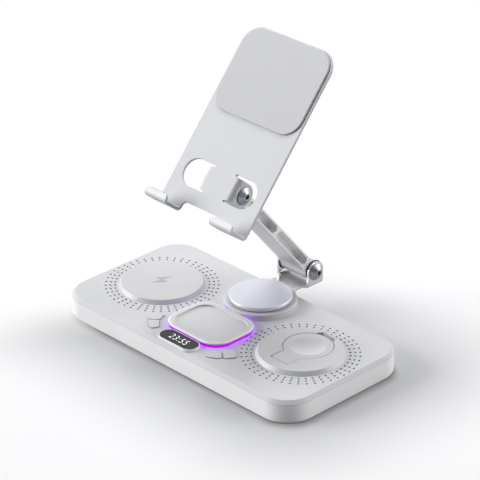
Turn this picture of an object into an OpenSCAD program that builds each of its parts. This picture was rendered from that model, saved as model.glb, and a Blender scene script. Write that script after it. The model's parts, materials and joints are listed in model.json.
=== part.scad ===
// Desktop wireless charging station: a flat base with a phone pad, a flip-up watch pad, a lit
// earbud tray and a clock, and a folding metal phone holder on a turntable behind them.
// X runs along the base, +Y is the back, Z is up. The origin is on the table under the base's centre.

/* [Base] */
// Length of the base along X
base_length = 202; // [190:1:230]
// Depth of the base along Y
base_depth = 103; // [100:1:125]
// Height of the base from the table to its top
base_height = 14.9; // [14:0.1:18]
// Radius of the base's upright corners
corner_radius = 19; // [12:1:26]
// Sloping edge round the top cover
cover_chamfer = 2.1; // [1:0.1:2.3]
// Thickness of the top cover
cover_thickness = 2.4; // [2.4:0.1:3]
// Wall of the bottom housing
housing_wall = 1.8; // [1.4:0.1:2.4]
// Thickness of the rubber mat under the base
mat_thickness = 1.2; // [1:0.1:1.6]
// How far the mat stands below the housing
mat_proud = 0.8; // [0.5:0.1:1]
// Thickness of the steel ballast plate
ballast_thickness = 2.2; // [1.5:0.1:2.6]
// Shank radius of the housing screws
screw_radius = 1.25; // [1:0.05:1.5]
// Distance of the inner screws from the base's centre along X
screw_spread = 40; // [38:0.5:44]
// Length of the main circuit board
board_length = 56; // [50:1:58]
// Depth of the main circuit board
board_depth = 34; // [30:1:36]
// Width of the circuit board behind the inlet
inlet_board_width = 30; // [26:1:36]
// Depth of the circuit board behind the inlet
inlet_board_depth = 16; // [14:0.5:17]

/* [Charging pads] */
// Distance of each round pad from the base's centre
pad_offset = 61.3; // [60:0.1:64]
// Radius of a pad at its foot
pad_radius = 27.7; // [26:0.1:28.2]
// How far a pad's side leans in
pad_lean = 1.5; // [0.5:0.1:2.5]
// Height of a pad above the cover
pad_height = 2.8; // [2.4:0.1:4]
// Thickness of the phone pad's face
pad_face = 1.2; // [0.8:0.1:1.4]

/* [Vents] */
// Radius of the first ring of vent holes
vent_radius = 29.9; // [29.4:0.1:30.5]
// Distance from one ring of holes to the next
vent_step = 2.95; // [2.5:0.05:3.1]
// Rings of holes round each pad
vent_rings = 3; // [1:1:3]
// Holes in each ring
vent_count = 45; // [30:1:45]
// Radius of one vent hole
vent_hole = 0.76; // [0.4:0.02:0.9]

/* [Watch flap] */
// Radius of the round charging puck
puck_radius = 15.3; // [14:0.1:16]
// How far the puck's centre lies behind the pad's centre
puck_shift = 6.5; // [5:0.1:7]
// Thickness of the puck
puck_thickness = 5.2; // [5:0.1:5.6]
// Width of the flap's tail
tail_width = 14; // [10:0.5:16]
// Reach of the tail's end in front of the pad's centre
tail_reach = 18.5; // [17:0.1:20]
// Seam between the flap and its well
flap_gap = 0.4; // [0.2:0.05:0.5]
// Radius of the dish in the puck
dish_radius = 11; // [9:0.1:12]
// Depth of the dish
dish_depth = 1.5; // [0.4:0.1:1.6]
// Wall of the well that the flap lies in
well_wall = 1.3; // [1:0.1:1.6]
// Radius of the flap's hinge pin
flap_pin_radius = 1; // [0.7:0.05:1.2]

/* [Earbud tray] */
// Length of the tray along X
tray_length = 50; // [44:0.5:54]
// Front edge of the tray behind the base's front edge
tray_margin = 15.5; // [15.4:0.1:18]
// Corner radius of the tray
tray_radius = 13; // [9:0.5:16]
// Height of the tray's rim above the cover
tray_height = 3.1; // [2.8:0.1:3.6]
// Width of the tray's rim
tray_rim = 3.7; // [3:0.1:5]
// Depth of the tray's hollow
tray_hollow = 1.2; // [0.8:0.1:1.4]
// Height of the light ring under the tray
light_height = 1.8; // [1.4:0.1:2]

/* [Display] */
// Length of the clock's bezel
display_length = 30.6; // [24:0.1:32]
// Depth of the clock's bezel
display_depth = 12.6; // [10:0.1:12.7]
// Height of the clock above the cover
display_height = 1.8; // [1.6:0.1:2.6]
// Width of the bezel's edge round the glass
display_edge = 0.5; // [0.4:0.05:1]

/* [Keys] */
// Distance from the tray's corner to the keys
key_gap = 5.5; // [5.3:0.1:6]
// Width of a key outwards from the tray
key_width = 7.6; // [6:0.1:8]
// How much wider the rearmost key's end is than the key's middle, as a share
key_taper = 0.22; // [0:0.02:0.24]
// Angle by which the rearmost key's end leans forward
key_swing = 8; // [0:0.5:10]
// Height of a key above the cover
key_rise = 0.8; // [0.6:0.1:1.2]
// How far a key travels
key_travel = 0.5; // [0.3:0.05:0.55]
// Clearance round a key
key_play = 0.25; // [0.15:0.05:0.3]

/* [Turntable] */
// Turntable's centre in front of the base's rear edge
turn_margin = 24.6; // [24:0.1:27]
// Radius of the fixed collar
collar_radius = 23; // [21:0.1:23]
// Height of the collar above the cover
collar_height = 4; // [3.6:0.1:5]
// Radius of the turning cap
cap_radius = 20; // [19:0.1:21]
// Thickness of the cap over the bracket
cap_top = 1.1; // [0.8:0.1:2]
// Radius of the swivel bolt
bolt_radius = 4; // [3:0.1:5]
// Gap under the turning bracket
turn_gap = 0.3; // [0.2:0.05:0.5]

/* [Holder] */
// Thickness of the bent sheet metal
sheet = 1.8; // [1.5:0.1:2.2]
// Inside width between a hinge's two ears
ear_inside = 24.2; // [20:0.1:26]
// Radius of the rounded ears at the base
ear_radius = 6.6; // [6:0.1:7.5]
// Lower pivot behind the turntable's centre
pivot_back = 34.9; // [33:0.1:38]
// Lower pivot above the bracket's floor
pivot_rise = 8.4; // [7.6:0.1:12]
// Arm length from pivot to pivot
arm_length = 98; // [80:1:110]
// Slope of the arm from level
arm_angle = 49.8; // [40:1:70]
// Thickness of the arm's bar
arm_bar = 7.6; // [6:0.1:9]
// Radius of the arm's two eyes
eye_radius = 6.3; // [5:0.1:6.6]
// Width of the phone plate
plate_width = 74; // [66:1:90]
// Plate above the upper pivot
plate_above = 97.7; // [80:1:130]
// Plate below the upper pivot
plate_below = 25.5; // [23:0.5:34]
// Slope of the plate from level
plate_angle = 50; // [40:1:80]
// Upper pivot behind the plate's face
plate_offset = 9.1; // [9:0.1:12]
// Corner radius at the top of the plate
plate_radius = 13; // [6:0.5:18]
// Width of one hook
hook_width = 18; // [12:0.5:24]
// Reach of the hooks from the plate's face to the lip's outside
hook_reach = 15.2; // [12:0.1:20]
// Height of the lip above the hook's underside
lip_height = 5.2; // [4.4:0.1:9]
// Height of the rubber pad on the plate
pad_tall = 56; // [30:1:70]
// Thickness of the rubber pad on the plate
pad_thick = 1.2; // [0.8:0.1:2]

/* [Hinges] */
// Radius of a hinge axle
axle_radius = 2.5; // [2:0.1:3]
// Radius of a screw's cone head
head_radius = 5.5; // [5:0.1:6]
// Height of a screw's cone head
head_height = 3; // [2:0.1:4]
// Thickness of a friction washer
washer_thick = 0.45; // [0.3:0.05:0.5]
// Running clearance of shafts in their bores
fit = 0.05; // [0.03:0.01:0.08]

/* [Hidden] */
$fn = 64;

// Levels from the table up
deck = base_height;
seam = deck - cover_thickness;
housing_floor = mat_proud + housing_wall;
board_z = housing_floor + ballast_thickness + 1.2;
board_thick = 1.2;
cover_lip = 1.6;
lip_play = 0.15;
mat_margin = 5;
loose = 0.1;

// Screw posts: four along each long side
post_radius = 3;
post_x = base_length / 2 - corner_radius - 1;
post_y = base_depth / 2 - housing_wall - post_radius - 1.2;
post_places = [for (x = [-post_x, -screw_spread, screw_spread, post_x], y = [-post_y, post_y]) [x, y]];

// Charging coils
coil_thick = 0.8;
ferrite_thick = 0.6;

// Watch flap
flap_top = deck + pad_height - 0.1;
flap_bottom = flap_top - puck_thickness;
tail_half = 2.2;
flap_axis_y = tail_half - tail_reach;
flap_axis_z = flap_top - tail_half;
flap_back_thick = 0.8;
well_floor = 1;
notch_half = 7.2;
notch_reach = 2.8;
notch_deep = 2.4;

// Earbud tray and light ring; the tray fills the room in front of the turntable's collar
turn_y = base_depth / 2 - turn_margin;
tray_front = base_depth / 2 - tray_margin;
tray_depth = tray_front + turn_y - collar_radius - 0.1;
tray_y = tray_depth / 2 - tray_front;
earbud_radius = min(tray_length, tray_depth) / 2 - 5.2;
tray_base = 1;
ring_inset = 0.5;
ring_wide = 1.6;

// Clock
display_y = -tray_front - 0.4 - display_depth / 2;
glass_thick = 0.8;

// Keys lie on arcs about the tray's front corners
key_centre = [tray_length / 2 - tray_radius, tray_radius - tray_front];
key_in = tray_radius + key_gap;
key_out = key_in + key_width;
key_corner = 1.6;
key_back = [-32.2, -9.5];
key_front = [-60, -34.8];
key_flange = 0.45;
key_flange_thick = 0.8;
key_low = seam - key_flange_thick - 0.05;

// Turntable and bracket
bracket_z = deck + collar_height + turn_gap;
floor_z = bracket_z + sheet;
cap_skirt = 1.3;
disc_radius = cap_radius - cap_skirt - 0.3;
cap_bottom = bracket_z + 0.7;
cap_z = floor_z + cap_top;
bend_inside = 0.6;
ear_out = ear_inside / 2 + sheet;
neck_half = 10;
pivot_y = turn_y + pivot_back;
pivot_z = floor_z + pivot_rise;
bolt_head = 6.4;
nut_radius = 7.2;
nut_thick = 3;

// Arm
arm_width = ear_inside - 2 * washer_thick - 2 * loose / 2;
bore = axle_radius + fit;
pocket_half = arm_bar / 2 - 1;
pocket_deep = 8;
pocket_end = eye_radius + 4.4;
pocket_web = 3.2;
arm_taper = 1.4;
pocket_split = arm_length / 2 + 1.4;

// Upper pivot and plate
top_y = pivot_y - arm_length * cos(arm_angle);
top_z = pivot_z + arm_length * sin(arm_angle);
lug_radius = 7.5;
lug_bend = 1.7;
fold_line = ear_out - sheet - lug_bend;
window_half = 9.2;
window_centre = 21.3;
relief_wide = 1.4;
relief_deep = 1.8;
plate_back = plate_offset - sheet;
hook_bend = 1.7;
lip_bend = 1.2;
lip_corner = 2.2;
notch_corner = 3;
notch_top = plate_below - sheet - hook_bend - notch_corner - 0.6;
pad_margin = 1.2;
socket_wide = 3.4;
thread_radius = 1.5;
thread_long = 7;

module rounded(l, w, r) {
    square([l, w - 2 * r], center = true);
    square([l - 2 * r, w], center = true);
    for (x = [-1, 1], y = [-1, 1])
        translate([x * (l / 2 - r), y * (w / 2 - r)]) circle(r);
}

// Rounded slab whose top edge slopes in by the chamfer
module chamfered(l, w, r, h, c) {
    linear_extrude(h - c) rounded(l, w, r);
    translate([0, 0, h - c]) {
        for (x = [-1, 1], y = [-1, 1])
            translate([x * (l / 2 - r), y * (w / 2 - r), 0]) cylinder(h = c, r1 = r, r2 = r - c);
        sloped(l - 2 * r, w, c);
        rotate(90) sloped(w - 2 * r, l, c);
    }
}

module sloped(run, w, c) {
    translate([-run / 2, 0, 0]) rotate([90, 0, 90]) linear_extrude(run)
        polygon([[-w / 2, 0], [w / 2, 0], [w / 2 - c, c], [c - w / 2, c]]);
}

// Disc with a rounded top edge
module button(r, h, f) {
    rotate_extrude() {
        square([r, h - f]);
        square([r - f, h]);
        translate([r - f, h - f]) circle(f);
    }
}

module ring(out, inside, h) {
    difference() {
        cylinder(h = h, r = out);
        translate([0, 0, -1]) cylinder(h = h + 2, r = inside);
    }
}

module stadium(l, w) {
    square([l - w, w], center = true);
    for (x = [-1, 1]) translate([x * (l - w) / 2, 0]) circle(w / 2);
}

// Outline of the watch flap, grown by g
module keyhole(g) {
    translate([0, puck_shift]) circle(puck_radius + g);
    translate([-tail_width / 2 - g, -tail_reach - g])
        square([tail_width + 2 * g, tail_reach + puck_shift]);
}

function toward(a) = [cos(a), sin(a)];

// Points along an arc, without its two ends when open is 1
function arc_points(c, r, a, b, n, open) =
    [for (i = [open:n - open]) c + r * toward(a + (b - a) * i / n)];

// Key outline: part of a ring with rounded corners, grown by g
module key_shape(span, g) {
    r1 = key_in - g;
    r2 = key_out + g;
    c = key_corner + g;
    grow = g / (r1 + r2) * 2 * 180 / PI;
    a = span[0] - grow;
    b = span[1] + grow;
    near = asin(c / (r1 + c));
    far = asin(c / (r2 - c));
    outline = concat(
        arc_points([0, 0], r2, a + far, b - far, 8, 1),
        arc_points((r2 - c) * toward(b - far), c, b - far, b + 90, 6, 0),
        arc_points((r1 + c) * toward(b - near), c, b + 90, b - near + 180, 6, 0),
        arc_points([0, 0], r1, b - near, a + near, 8, 1),
        arc_points((r1 + c) * toward(a + near), c, a + near + 180, a + 270, 6, 0),
        arc_points((r2 - c) * toward(a + far), c, a - 90, a + far, 6, 0));
    polygon([for (p = outline) key_point(norm(p), atan2(p[1], p[0]))]);
}

// Where a point of the even ring lands: the keys narrow toward the clock and lean forward behind
function key_point(r, a) =
    let (along = (a - key_front[0]) / (key_back[1] - key_front[0]),
         out = (r - key_in) * (1 + key_taper * (2 * along - 1)))
    (key_in + out) * toward(a - key_swing * along * along * (r - key_in) / key_width);

module at_key(side) {
    mirror([side < 0 ? 1 : 0, 0, 0]) translate(key_centre) children();
}

module rubber_mat() {
    inset = 2 * mat_margin;
    color([0.16, 0.16, 0.17]) linear_extrude(mat_thickness)
        rounded(base_length - inset, base_depth - inset, corner_radius - mat_margin);
}

module inlet_hole(grow) {
    translate([0, base_depth / 2 + 0.01, inlet_z]) rotate([90, 0, 0])
        linear_extrude(housing_wall + 1) stadium(inlet_wide + 2 * grow, inlet_tall + 2 * grow);
}

inlet_wide = 8.9;
inlet_tall = 3.2;
inlet_long = 7.4;
inlet_z = board_z + board_thick + inlet_tall / 2;

module bottom_housing() {
    inner = 2 * housing_wall;
    inset = 2 * mat_margin - 2 * loose;
    wall_top = seam - mat_proud;
    color([0.93, 0.94, 0.94]) difference() {
        union() {
            translate([0, 0, mat_proud]) difference() {
                linear_extrude(wall_top) rounded(base_length, base_depth, corner_radius);
                translate([0, 0, housing_wall]) linear_extrude(wall_top)
                    rounded(base_length - inner, base_depth - inner, corner_radius - housing_wall);
            }
            for (p = post_places) translate([p[0], p[1], mat_proud + housing_wall / 2])
                cylinder(h = post_joint - mat_proud - housing_wall / 2, r = post_radius);
            for (p = board_posts) translate([p[0], p[1], mat_proud + housing_wall / 2])
                cylinder(h = board_z - mat_proud - housing_wall / 2, r = board_post_radius);
        }
        linear_extrude(mat_thickness)
            rounded(base_length - inset, base_depth - inset, corner_radius - mat_margin + loose);
        for (p = post_places) translate([p[0], p[1], 0]) {
            cylinder(h = deck, r = screw_radius + loose);
            translate([0, 0, mat_thickness - 0.01])
                cylinder(h = screw_head_tall + 0.01, r = screw_head_radius + loose);
        }
        inlet_hole(loose);
    }
}

post_joint = (housing_floor + seam) / 2;
screw_head_radius = 2.2;
screw_head_tall = 0.6;
board_post_radius = 1.8;
board_x = board_length / 2;
board_y0 = -board_depth / 2 - 5;
board_y1 = board_y0 + board_depth;
inlet_board_y = base_depth / 2 - housing_wall - 0.4 - inlet_board_depth;
board_posts = concat([for (x = [-1, 1], y = [board_y0 + 3, board_y1 - 3]) [x * (board_x - 3), y]],
                     [for (x = [-1, 1]) [x * inlet_board_width / 3, inlet_board_y + inlet_board_depth / 2]]);

module top_cover() {
    lip_out = 2 * (housing_wall + lip_play);
    lip_in = lip_out + 2 * 1.3;
    color([0.83, 0.835, 0.845]) difference() {
        union() {
            translate([0, 0, seam])
                chamfered(base_length, base_depth, corner_radius, cover_thickness, cover_chamfer);
            translate([0, 0, seam - cover_lip]) difference() {
                linear_extrude(cover_lip + 0.5) rounded(base_length - lip_out, base_depth - lip_out,
                    corner_radius - lip_out / 2);
                translate([0, 0, -1]) linear_extrude(cover_lip + 2)
                    rounded(base_length - lip_in, base_depth - lip_in, corner_radius - lip_in / 2);
            }
            for (p = post_places) translate([p[0], p[1], post_joint])
                cylinder(h = seam - post_joint + 0.5, r = post_radius);
        }
        for (p = post_places) translate([p[0], p[1], post_joint - 1])
            cylinder(h = seam - post_joint + 1.4, r = screw_radius);
        vents();
        translate([pad_offset, 0, seam - 1]) linear_extrude(cover_thickness + 2)
            keyhole(flap_gap + well_wall + loose);
        translate([-pad_offset, 0, seam - 1]) cylinder(h = cover_thickness + 2, r = 4);
        translate([0, tray_y, seam - 1]) cylinder(h = cover_thickness + 2, r = 4);
        translate([0, display_y, seam - 1]) cylinder(h = cover_thickness + 2, r = 2.5);
        translate([0, turn_y, seam - 1]) cylinder(h = cover_thickness + 2, r = bolt_radius + fit);
        for (side = [-1, 1], span = [key_back, key_front]) at_key(side)
            translate([0, 0, seam - 1]) linear_extrude(cover_thickness + 2) key_shape(span, key_play);
        inlet_hole(loose);
    }
}

// Three rings of holes round each pad; the two sets mirror each other
module vents() {
    for (side = [-1, 1], k = [0:vent_count - 1], n = [0:vent_rings - 1])
        translate([side * pad_offset, 0, seam - 1]) mirror([side < 0 ? 1 : 0, 0, 0])
            rotate(k * 360 / vent_count) translate([vent_radius + n * vent_step, 0, 0])
                cylinder(h = cover_thickness + 2, r = vent_hole, $fn = 16);
}

module housing_screws() {
    color([0.6, 0.6, 0.62]) for (p = post_places) translate([p[0], p[1], mat_thickness]) {
        cylinder(h = screw_head_tall, r = screw_head_radius);
        cylinder(h = seam - mat_thickness - 0.4, r = screw_radius);
    }
}

module ballast_plate() {
    l = base_length - 2 * housing_wall - 3;
    w = base_depth - 2 * housing_wall - 3;
    color([0.5, 0.5, 0.52]) translate([0, 0, housing_floor]) linear_extrude(ballast_thickness)
        difference() {
            rounded(l, w, corner_radius - housing_wall - 1.5);
            for (p = post_places) translate(p) circle(post_radius + 1);
            for (p = board_posts) translate(p) circle(board_post_radius + 1);
        }
}

module main_board() {
    color([0.1, 0.35, 0.2]) translate([0, 0, board_z]) {
        translate([-board_x, board_y0, 0]) cube([2 * board_x, board_y1 - board_y0, board_thick]);
        for (x = [-18, -6, 12]) translate([x, -4, board_thick]) cube([7, 7, 1.6]);
        for (x = [-22, 22]) translate([x, -8, board_thick]) cylinder(h = 2.6, r = 3);
        translate([-6, -18, board_thick]) cube([12, 5, 2.4]);
    }
}

module inlet_board() {
    half = inlet_board_width / 2;
    color([0.1, 0.35, 0.2]) translate([0, inlet_board_y, board_z]) {
        translate([-half, 0, 0]) cube([inlet_board_width, inlet_board_depth, board_thick]);
        for (x = [3 - half, half - 7]) translate([x, 2, board_thick]) cube([4, 2.5, 1.2]);
    }
}

// Open metal shell with its contact tongue
module usb_inlet() {
    shell = 0.35;
    color([0.75, 0.75, 0.77]) translate([0, base_depth / 2 - 0.3, inlet_z]) rotate([90, 0, 0]) {
        difference() {
            linear_extrude(inlet_long) stadium(inlet_wide, inlet_tall);
            translate([0, 0, -1]) linear_extrude(inlet_long)
                stadium(inlet_wide - 2 * shell, inlet_tall - 2 * shell);
        }
        translate([-3.3, -0.35, 0.8]) cube([6.6, 0.7, inlet_long - 1.2]);
    }
}

// Outline of a round pad, from its axis to its leaning side
module pad_profile() {
    edge = 0.4;
    polygon([[0, 0], [pad_radius, 0], [pad_radius - pad_lean, pad_height - edge],
             [pad_radius - pad_lean - edge * 0.3, pad_height - edge * 0.3],
             [pad_radius - pad_lean - edge, pad_height], [0, pad_height]]);
}

module phone_pad() {
    hollow = pad_radius - pad_lean - 2;
    color([0.84, 0.845, 0.855]) translate([-pad_offset, 0, deck]) difference() {
        rotate_extrude($fn = 120) pad_profile();
        translate([0, 0, -1]) cylinder(h = pad_height - pad_face + 1, r = hollow);
    }
}

module phone_ferrite() {
    color([0.2, 0.2, 0.22]) translate([-pad_offset, 0, deck])
        cylinder(h = ferrite_thick, r = pad_radius - pad_lean - 2.5);
}

module phone_coil() {
    color([0.72, 0.42, 0.2]) translate([-pad_offset, 0, deck + ferrite_thick])
        ring(pad_radius - pad_lean - 4, 10, coil_thick);
}

module watch_pad() {
    bottom = flap_bottom - flap_gap - well_floor;
    color([0.84, 0.845, 0.855]) translate([pad_offset, 0, 0]) difference() {
        union() {
            translate([0, 0, deck]) rotate_extrude($fn = 120) pad_profile();
            translate([0, 0, bottom]) linear_extrude(deck - bottom + 0.5) keyhole(flap_gap + well_wall);
        }
        translate([0, 0, bottom + well_floor]) linear_extrude(puck_thickness + 3) keyhole(flap_gap);
        translate([0, puck_shift + puck_radius, deck + pad_height - notch_deep])
            linear_extrude(notch_deep + 1)
                polygon([[-notch_half, -4], [-notch_half, 0], [-notch_half + 2, notch_reach],
                         [notch_half - 2, notch_reach], [notch_half, 0], [notch_half, -4]]);
        translate([-puck_radius, flap_axis_y, flap_axis_z]) rotate([0, 90, 0])
            cylinder(h = 2 * puck_radius, r = flap_pin_radius + fit, $fn = 32);
    }
}

module watch_flap() {
    cup = puck_radius - 2;
    sphere_radius = (dish_radius * dish_radius + dish_depth * dish_depth) / (2 * dish_depth);
    color([0.8, 0.805, 0.815]) translate([pad_offset, 0, 0]) difference() {
        union() {
            translate([0, puck_shift, flap_bottom]) cylinder(h = puck_thickness, r = puck_radius, $fn = 120);
            translate([-tail_width / 2, flap_axis_y, flap_axis_z - tail_half])
                cube([tail_width, -flap_axis_y, 2 * tail_half]);
            translate([-tail_width / 2, flap_axis_y, flap_axis_z]) rotate([0, 90, 0])
                cylinder(h = tail_width, r = tail_half);
        }
        translate([0, puck_shift, flap_top + sphere_radius - dish_depth])
            sphere(sphere_radius, $fn = 200);
        translate([0, puck_shift, flap_bottom - 1]) cylinder(h = puck_thickness - dish_depth, r = cup);
        translate([-tail_width / 2 - 1, flap_axis_y, flap_axis_z]) rotate([0, 90, 0])
            cylinder(h = tail_width + 2, r = flap_pin_radius + fit, $fn = 32);
    }
}

module flap_back() {
    color([0.8, 0.805, 0.815]) translate([pad_offset, puck_shift, flap_bottom])
        cylinder(h = flap_back_thick, r = puck_radius - 2 - fit);
}

module watch_coil() {
    color([0.72, 0.42, 0.2]) translate([pad_offset, puck_shift, flap_bottom + flap_back_thick]) {
        cylinder(h = ferrite_thick, r = puck_radius - 3);
        ring(puck_radius - 3.5, 4, ferrite_thick + coil_thick);
    }
}

module flap_pin() {
    long = tail_width + 2 * (flap_gap + well_wall) - 0.2;
    color([0.7, 0.7, 0.72]) translate([pad_offset - long / 2, flap_axis_y, flap_axis_z])
        rotate([0, 90, 0]) cylinder(h = long, r = flap_pin_radius, $fn = 32);
}

module earbud_tray() {
    inner = 2 * tray_rim;
    under = 2 * (ring_inset + ring_wide + loose);
    rise = tray_height - light_height;
    color([0.84, 0.845, 0.855]) translate([0, tray_y, deck]) difference() {
        union() {
            translate([0, 0, light_height])
                chamfered(tray_length, tray_depth, tray_radius, rise, 0.5);
            translate([0, 0, tray_height - tray_hollow - tray_base])
                linear_extrude(tray_hollow + tray_base - 0.5)
                    rounded(tray_length - under, tray_depth - under, tray_radius - under / 2);
        }
        translate([0, 0, tray_height - tray_hollow]) linear_extrude(tray_hollow + 1)
            rounded(tray_length - inner, tray_depth - inner, tray_radius - tray_rim);
    }
}

module light_ring() {
    out = 2 * ring_inset;
    inside = out + 2 * ring_wide;
    color([0.75, 0.1, 0.95]) translate([0, tray_y, deck]) linear_extrude(light_height) difference() {
        rounded(tray_length - out, tray_depth - out, tray_radius - ring_inset);
        rounded(tray_length - inside, tray_depth - inside, tray_radius - inside / 2);
    }
}

module light_board() {
    out = 2 * (ring_inset + ring_wide + loose);
    inside = out + 5;
    color([0.9, 0.9, 0.9]) translate([0, tray_y, deck]) linear_extrude(0.5) difference() {
        rounded(tray_length - out, tray_depth - out, tray_radius - out / 2);
        rounded(tray_length - inside, tray_depth - inside, tray_radius - inside / 2);
    }
}

module earbud_ferrite() {
    color([0.2, 0.2, 0.22]) translate([0, tray_y, deck]) cylinder(h = 0.4, r = earbud_radius);
}

module earbud_coil() {
    color([0.72, 0.42, 0.2]) translate([0, tray_y, deck + 0.4]) ring(earbud_radius - 0.8, 6, 0.4);
}

module display_bezel() {
    inner = 2 * display_edge;
    color([0.95, 0.95, 0.95]) translate([0, display_y, deck]) difference() {
        linear_extrude(display_height) stadium(display_length, display_depth);
        translate([0, 0, display_height - glass_thick]) linear_extrude(glass_thick + 1)
            stadium(display_length - inner, display_depth - inner);
        translate([0, 0, -1]) linear_extrude(display_height + 2)
            stadium(display_length - inner - 1, display_depth - inner - 1);
    }
}

module display_glass() {
    inner = 2 * display_edge;
    color([0.12, 0.12, 0.13]) translate([0, display_y, deck + display_height - glass_thick])
        linear_extrude(glass_thick) stadium(display_length - inner, display_depth - inner);
}

module display_board() {
    inner = 2 * display_edge + 1.4;
    color([0.1, 0.35, 0.2]) translate([0, display_y, deck])
        linear_extrude(display_height - glass_thick - loose)
            stadium(display_length - inner, display_depth - inner);
}

// Key cap with the flange that holds it under the cover
module key(side, span) {
    top = deck + key_rise;
    color([0.84, 0.845, 0.855]) at_key(side) {
        translate([0, 0, key_low]) linear_extrude(top - key_low) key_shape(span, 0);
        translate([0, 0, key_low]) linear_extrude(key_flange_thick) key_shape(span, key_flange);
    }
}

module key_left_back() { key(-1, key_back); }
module key_left_front() { key(-1, key_front); }
module key_right_back() { key(1, key_back); }
module key_right_front() { key(1, key_front); }

// Push switches under the keys, on one carrier a side
module key_switches() {
    top = key_low - key_travel - 0.1;
    radius = (key_in + key_out) / 2;
    color([0.3, 0.3, 0.32]) for (side = [-1, 1]) at_key(side) {
        for (span = [key_back, key_front]) {
            translate(key_point(radius, (span[0] + span[1]) / 2)) {
                translate([-2.5, -2.5, board_z]) cube([5, 5, top - board_z - 0.8]);
                translate([0, 0, top - 0.81]) cylinder(h = 0.81, r = 1.6, $fn = 32);
            }
        }
        translate([0, 0, housing_floor + ballast_thickness])
            linear_extrude(board_z - housing_floor - ballast_thickness)
                key_shape([key_front[0], key_back[1]], 0);
    }
}

module turntable_collar() {
    groove = 0.3;
    color([0.83, 0.835, 0.845]) translate([0, turn_y, deck]) difference() {
        button(collar_radius, collar_height, 0.6);
        translate([0, 0, -1]) cylinder(h = collar_height + 2, r = bolt_radius + fit);
        translate([0, 0, collar_height / 2 - 0.2])
            ring(collar_radius + 1, collar_radius - groove, 0.4);
    }
}

module swivel_bolt() {
    color([0.6, 0.6, 0.62]) translate([0, turn_y, 0]) {
        translate([0, 0, floor_z - 1.2]) cylinder(h = 1.2, r1 = bolt_radius, r2 = bolt_head);
        translate([0, 0, nut_z - 0.6]) cylinder(h = floor_z - nut_z - 0.6, r = bolt_radius);
    }
}

nut_z = seam - 0.9 - nut_thick;

module swivel_washer() {
    color([0.3, 0.3, 0.32]) translate([0, turn_y, seam - 0.85])
        ring(nut_radius + 1, bolt_radius + fit, 0.8);
}

module swivel_nut() {
    color([0.6, 0.6, 0.62]) translate([0, turn_y, nut_z]) difference() {
        cylinder(h = nut_thick, r = nut_radius, $fn = 6);
        translate([0, 0, -1]) cylinder(h = nut_thick + 2, r = bolt_radius + fit / 2);
    }
}

// Ear outline seen along X: Y runs right and Z up from the pivot
module ear_shape(down) {
    circle(ear_radius);
    translate([-ear_radius, -down]) square([2 * ear_radius, down]);
}

// Bent sheet: a disc under the cap, a neck, and two ears
module hinge_bracket() {
    out = bend_inside + sheet;
    color([0.87, 0.875, 0.885]) difference() {
        union() {
            translate([0, turn_y, bracket_z]) cylinder(h = sheet, r = disc_radius);
            translate([-neck_half, turn_y, bracket_z])
                cube([2 * neck_half, pivot_back + ear_radius, sheet]);
            translate([out - ear_out, pivot_y - ear_radius, bracket_z])
                cube([2 * (ear_out - out), 2 * ear_radius, sheet]);
            for (s = [-1, 1]) translate([s * (ear_out - out), pivot_y - ear_radius, bracket_z])
                neck_fillet(s);
            for (s = [-1, 1]) {
                mirror([s < 0 ? 1 : 0, 0, 0]) translate([ear_out - out, pivot_y, bracket_z + out])
                    rotate([90, 0, 0]) translate([0, 0, -ear_radius]) linear_extrude(2 * ear_radius)
                        corner_band(bend_inside, out);
                translate([s > 0 ? ear_out - sheet : -ear_out, pivot_y, pivot_z])
                    rotate([90, 0, 90]) linear_extrude(sheet)
                        ear_shape(pivot_z - bracket_z - out);
            }
        }
        translate([0, turn_y, bracket_z - 1]) cylinder(h = sheet + 2, r = bolt_radius + fit);
        translate([0, turn_y, floor_z - 1.2 - fit])
            cylinder(h = 1.2 + 2 * fit, r1 = bolt_radius + fit, r2 = bolt_head + 2 * fit);
        translate([-ear_out - 1, pivot_y, pivot_z]) rotate([0, 90, 0])
            cylinder(h = 2 * ear_out + 2, r = bore);
    }
}

// Quarter of a ring in the corner below and to the right of its centre
module corner_band(r1, r2) {
    intersection() {
        difference() {
            circle(r2);
            circle(r1);
        }
        translate([0, -r2]) square([r2, r2]);
    }
}

// Concave corner where the neck widens to the ears
module neck_fillet(s) {
    r = ear_out - bend_inside - sheet - neck_half;
    translate([-s * r, 0, 0]) mirror([s < 0 ? 1 : 0, 0, 0]) difference() {
        translate([-0.01, -r, 0]) cube([r + 0.01, r + 0.01, sheet]);
        translate([r, -r, -1]) cylinder(h = sheet + 2, r = r, $fn = 32);
    }
}

module turntable_cap() {
    h = cap_z - cap_bottom;
    color([0.88, 0.885, 0.93]) difference() {
        translate([0, turn_y, cap_bottom]) button(cap_radius, h, 0.8);
        translate([0, turn_y, cap_bottom - 1]) cylinder(h = floor_z - cap_bottom + 1, r = cap_radius - cap_skirt);
        translate([-neck_half - loose, turn_y, cap_bottom - 1])
            cube([2 * (neck_half + loose), 2 * cap_radius, floor_z - cap_bottom + 1]);
    }
}

module axle() {
    translate([-ear_out, 0, 0]) rotate([0, 90, 0]) difference() {
        cylinder(h = 2 * ear_out, r = axle_radius);
        for (z = [-1, 2 * ear_out - thread_long])
            translate([0, 0, z]) cylinder(h = thread_long + 1, r = thread_radius, $fn = 32);
    }
}

// Two cone-headed socket screws, one at each end of an axle
module cap_screws() {
    for (s = [-1, 1]) mirror([s < 0 ? 1 : 0, 0, 0]) translate([ear_out, 0, 0]) rotate([0, 90, 0])
        difference() {
            union() {
                cylinder(h = 0.8, r = head_radius);
                translate([0, 0, 0.8])
                    cylinder(h = head_height - 0.8, r1 = head_radius, r2 = head_radius * 0.42);
                translate([0, 0, 1 - thread_long]) cylinder(h = thread_long, r = thread_radius - fit, $fn = 32);
            }
            translate([0, 0, 1]) cylinder(h = head_height, r = socket_wide / 2, $fn = 6);
        }
}

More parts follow.
